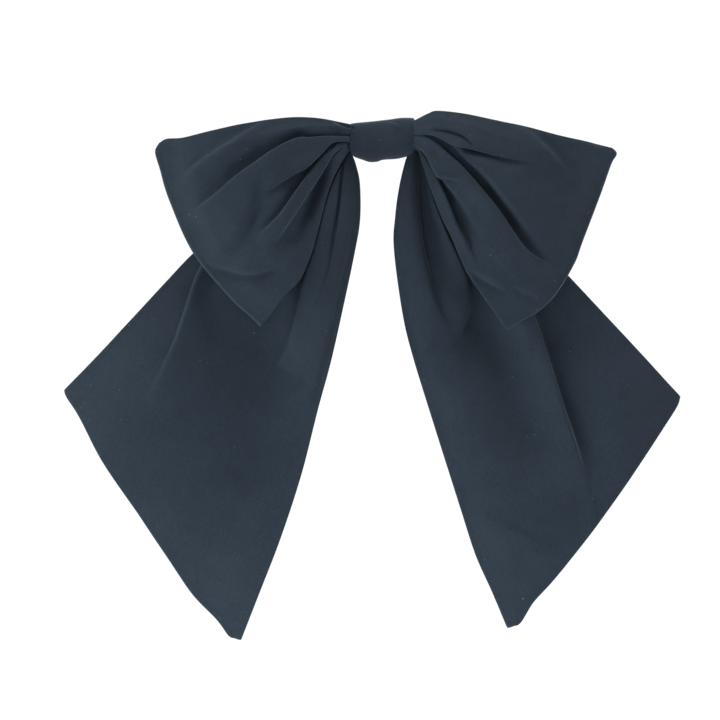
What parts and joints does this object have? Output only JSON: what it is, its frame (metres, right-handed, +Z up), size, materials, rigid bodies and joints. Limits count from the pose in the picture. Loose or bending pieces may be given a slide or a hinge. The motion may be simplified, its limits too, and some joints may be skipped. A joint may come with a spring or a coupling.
{
  "type": "hair bow barrette",
  "caption": "Oversized poplin hair bow with puffed loops and long slanted tails, gathered in a knot and lashed to a snap-shut French barrette.",
  "frame": {"origin": "middle of the gap in which the clip holds the hair, behind the knot", "axes": "+X to the viewer's right along the clip, +Y from the bow towards the head, +Z up; the bow faces -Y"},
  "size_m": [0.25, 0.042, 0.2145],
  "materials": {
    "navy_poplin": "matte crisp plain weave",
    "navy_felt": "matte felt",
    "navy_thread": "spun thread",
    "nickel_steel": "nickel plated, satin",
    "spring_steel": "brushed spring steel"
  },
  "bodies": {
    "knot": {"knot_band": "navy_poplin", "sash_core": "navy_poplin", "gathering_thread": "navy_thread", "band_stitching": "navy_thread", "felt_pad": "navy_felt", "plate_lashing_left": "navy_thread", "plate_lashing_right": "navy_thread", "clip_plate": "nickel_steel", "hinge_bracket": "nickel_steel", "hinge_rivet": "nickel_steel", "hinge_pin": "nickel_steel", "catch_base": "nickel_steel", "catch_rivet": "nickel_steel"},
    "left_loop": {"left_loop": "navy_poplin"},
    "right_loop": {"right_loop": "navy_poplin"},
    "left_tail": {"left_tail": "navy_poplin"},
    "right_tail": {"right_tail": "navy_poplin"},
    "clasp_arm": {"clasp_arm": "nickel_steel"},
    "tension_bar": {"tension_bar": "spring_steel"},
    "catch_tab_upper": {"catch_tab_upper": "spring_steel"},
    "catch_tab_lower": {"catch_tab_lower": "spring_steel"}
  },
  "joints": [
    {"name": "clasp_arm_hinge", "type": "hinge", "parent": "knot", "child": "clasp_arm", "pos_m": [0.0395, 0.0019, 0], "axis": [0, 0, -1], "range_deg": [0, 85]},
    {"name": "catch_squeeze_upper", "type": "hinge", "parent": "knot", "child": "catch_tab_upper", "pos_m": [-0.0385, -0.00257, 0.0025], "axis": [-1, 0, 0], "range_deg": [0, 8], "stiffness_Nm_per_rad": 0.02},
    {"name": "catch_squeeze_lower", "type": "hinge", "parent": "knot", "child": "catch_tab_lower", "pos_m": [-0.0385, -0.00257, -0.0025], "axis": [1, 0, 0], "range_deg": [0, 8], "stiffness_Nm_per_rad": 0.02},
    {"name": "tension_bar_press", "type": "slide", "parent": "knot", "child": "tension_bar", "axis": [0, -1, 0], "range_m": [0, 0.001], "stiffness_N_per_m": 400},
    {"name": "left_tail_swing", "type": "hinge", "parent": "knot", "child": "left_tail", "pos_m": [0, -0.0129, -0.0065], "axis": [1, 0, 0], "range_deg": [0, 30]},
    {"name": "right_tail_swing", "type": "hinge", "parent": "knot", "child": "right_tail", "pos_m": [0, -0.0129, -0.0065], "axis": [1, 0, 0], "range_deg": [0, 30]},
    {"name": "left_loop_flex", "type": "hinge", "parent": "knot", "child": "left_loop", "pos_m": [-0.0166, -0.0196, 0], "axis": [0, 0, 1], "range_deg": [0, 25], "stiffness_Nm_per_rad": 0.02},
    {"name": "right_loop_flex", "type": "hinge", "parent": "knot", "child": "right_loop", "pos_m": [0.0166, -0.0196, 0], "axis": [0, 0, -1], "range_deg": [0, 25], "stiffness_Nm_per_rad": 0.02}
  ],
  "couplings": [
    {"joint": "catch_squeeze_lower", "follows": "catch_squeeze_upper", "ratio": 1}
  ]
}
